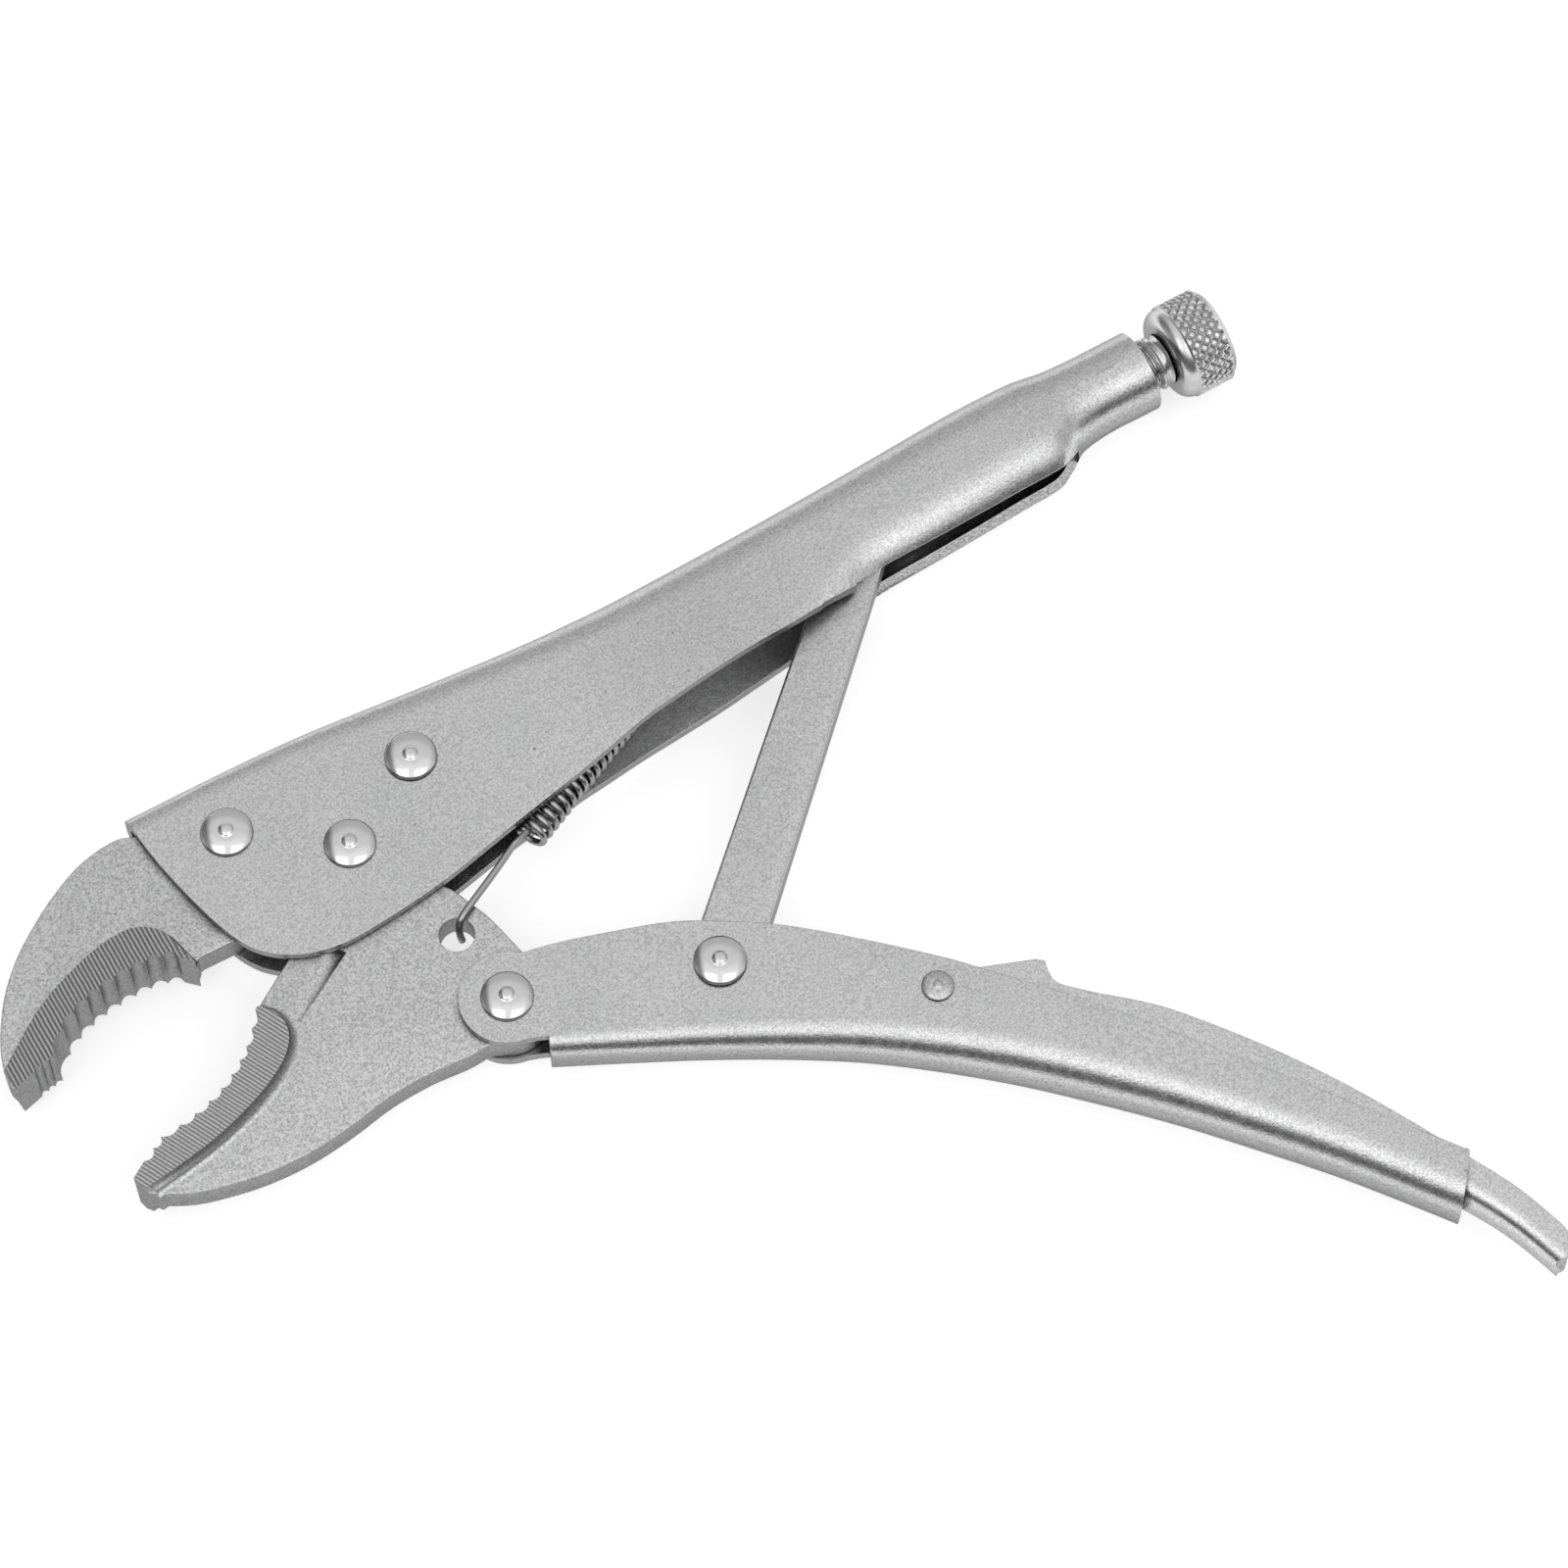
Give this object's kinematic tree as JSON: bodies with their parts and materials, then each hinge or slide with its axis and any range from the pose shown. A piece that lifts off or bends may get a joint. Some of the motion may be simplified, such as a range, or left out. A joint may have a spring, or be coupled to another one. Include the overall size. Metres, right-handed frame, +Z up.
{
  "type": "locking pliers",
  "caption": "Curved-jaw locking pliers with a folded sheet handle, toggle link, release lever, tension spring and knurled adjusting screw.",
  "frame": {"origin": "centre of the bounding box, at the height of the lowest point the tool lies on", "axes": "+X along the adjusting screw from the jaws to the knob, +Y from the moving handle towards the fixed handle's spine, +Z up across the tool's thickness"},
  "size_m": [0.2506, 0.1904, 0.0196],
  "materials": {
    "plated_sheet": "satin zinc plated pressed sheet, fine grain",
    "lever_sheet": "satin plated sheet, smoother grain",
    "plated_bar": "satin plated flat bar with broken edges",
    "forged_jaw": "satin plated forging, milled teeth",
    "screw_steel": "bright zinc plated thread",
    "knob_steel": "bright plated diamond knurl",
    "spring_wire": "drawn spring wire",
    "rivet_steel": "polished domed head",
    "rivet_satin": "satin low domed head"
  },
  "bodies": {
    "fixed_frame": {"fixed_handle": "plated_sheet", "upper_jaw": "forged_jaw", "front_jaw_rivet": "rivet_steel", "rear_jaw_rivet": "rivet_steel", "main_pivot_rivet": "rivet_steel", "tension_spring": "spring_wire"},
    "lower_jaw": {"lower_jaw": "forged_jaw"},
    "moving_handle": {"moving_handle": "plated_sheet", "handle_pivot_rivet": "rivet_steel", "link_rivet": "rivet_steel", "lever_rivet": "rivet_satin"},
    "toggle_link": {"toggle_link": "plated_bar"},
    "release_lever": {"release_lever": "lever_sheet"},
    "screw": {"adjusting_screw": "screw_steel"},
    "knob": {"screw_knob": "knob_steel"}
  },
  "joints": [
    {"name": "jaw_pivot", "type": "hinge", "parent": "fixed_frame", "child": "lower_jaw", "pos_m": [-0.05535, 0.07113, 0.0098], "axis": [0, 0, -1], "range_deg": [0, 20.5], "deforming": ["tension_spring"]},
    {"name": "handle_pivot", "type": "hinge", "parent": "lower_jaw", "child": "moving_handle", "pos_m": [-0.04575, 0.03323, 0.0098], "axis": [0, 0, -1], "range_deg": [-47.41, 0]},
    {"name": "link_pivot", "type": "hinge", "parent": "moving_handle", "child": "toggle_link", "pos_m": [-0.01165, 0.02073, 0.0098], "axis": [0, 0, -1], "range_deg": [0, 39.25]},
    {"name": "lever_pivot", "type": "hinge", "parent": "moving_handle", "child": "release_lever", "pos_m": [0.01765, -0.00177, 0.0098], "axis": [0, 0, 1], "range_deg": [0, 6]},
    {"name": "screw_travel", "type": "slide", "parent": "fixed_frame", "child": "screw", "axis": [1, 0, 0], "range_m": [0, 0.02]},
    {"name": "knob_turn", "type": "hinge", "parent": "screw", "child": "knob", "pos_m": [0.11965, 0.08373, 0.0098], "axis": [1, 0, 0], "range_deg": [0, 4801]}
  ],
  "couplings": [
    {"joint": "handle_pivot", "follows": "jaw_pivot", "ratio": -2.3102},
    {"joint": "link_pivot", "follows": "jaw_pivot", "ratio": 1.9121},
    {"joint": "knob_turn", "follows": "screw_travel", "rad_per_m": 4188.8}
  ]
}
